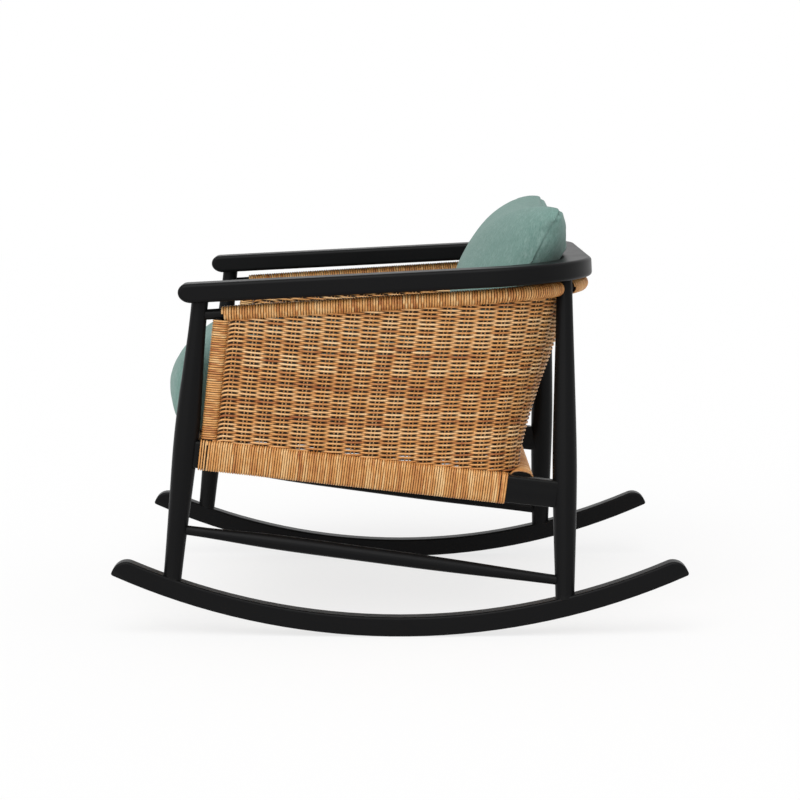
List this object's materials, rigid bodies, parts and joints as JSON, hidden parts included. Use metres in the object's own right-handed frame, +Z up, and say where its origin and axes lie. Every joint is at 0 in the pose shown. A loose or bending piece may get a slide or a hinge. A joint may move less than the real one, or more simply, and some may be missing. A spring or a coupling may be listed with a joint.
{
  "type": "rocking chair",
  "caption": "Low rocking lounge chair: black wooden frame on bent rockers, woven rattan shell round the back and sides, loose seat and back cushions.",
  "frame": {"origin": "on the floor, halfway between the rockers, at the point where they touch it", "axes": "+X towards the sitter's left, -Y the way the sitter looks, +Z up"},
  "size_m": [0.73, 0.9374, 0.7019],
  "materials": {
    "black_wood": "black satin paint",
    "rattan": "clear-coated honey rattan peel",
    "beech": "bare",
    "steel": "zinc plated",
    "webbing": "woven elastic webbing",
    "seat_cloth": "slubby linen weave",
    "back_cloth": "slubby linen weave"
  },
  "bodies": {
    "frame": {"rocker_left": "black_wood", "rocker_right": "black_wood", "front_leg_left": "black_wood", "front_leg_right": "black_wood", "rear_leg_left": "black_wood", "rear_leg_right": "black_wood", "side_stretcher_left": "black_wood", "side_stretcher_right": "black_wood", "arm_rail": "black_wood", "upper_rail_left": "black_wood", "upper_rail_right": "black_wood", "upper_rail_back": "black_wood", "panel_post_left": "black_wood", "panel_post_right": "black_wood", "seat_rail_left": "black_wood", "seat_rail_right": "black_wood", "seat_rail_front": "black_wood", "seat_rail_rear": "black_wood", "upper_wrap_left": "rattan", "upper_wrap_right": "rattan", "upper_wrap_back": "rattan", "post_wrap_left": "rattan", "post_wrap_right": "rattan", "rail_wrap_left": "rattan", "rail_wrap_right": "rattan", "rail_wrap_front": "rattan", "rail_wrap_rear": "rattan", "woven_shell": "rattan", "rail_dowels": "beech", "cleat_left": "beech", "cleat_right": "beech", "cleat_front": "beech", "cleat_rear": "beech", "cleat_screws": "steel", "webbing_across": "webbing", "webbing_along": "webbing"},
    "seat_pad": {"seat_cushion": "seat_cloth"},
    "back_pad": {"back_cushion": "back_cloth"}
  },
  "joints": [
    {"name": "seat_cushion_out", "type": "slide", "parent": "frame", "child": "seat_pad", "axis": [0, -0.9931, 0.1175], "range_m": [0, 0.45]},
    {"name": "back_cushion_lift", "type": "slide", "parent": "frame", "child": "back_pad", "axis": [0, 0, 1], "range_m": [0, 0.35]}
  ]
}
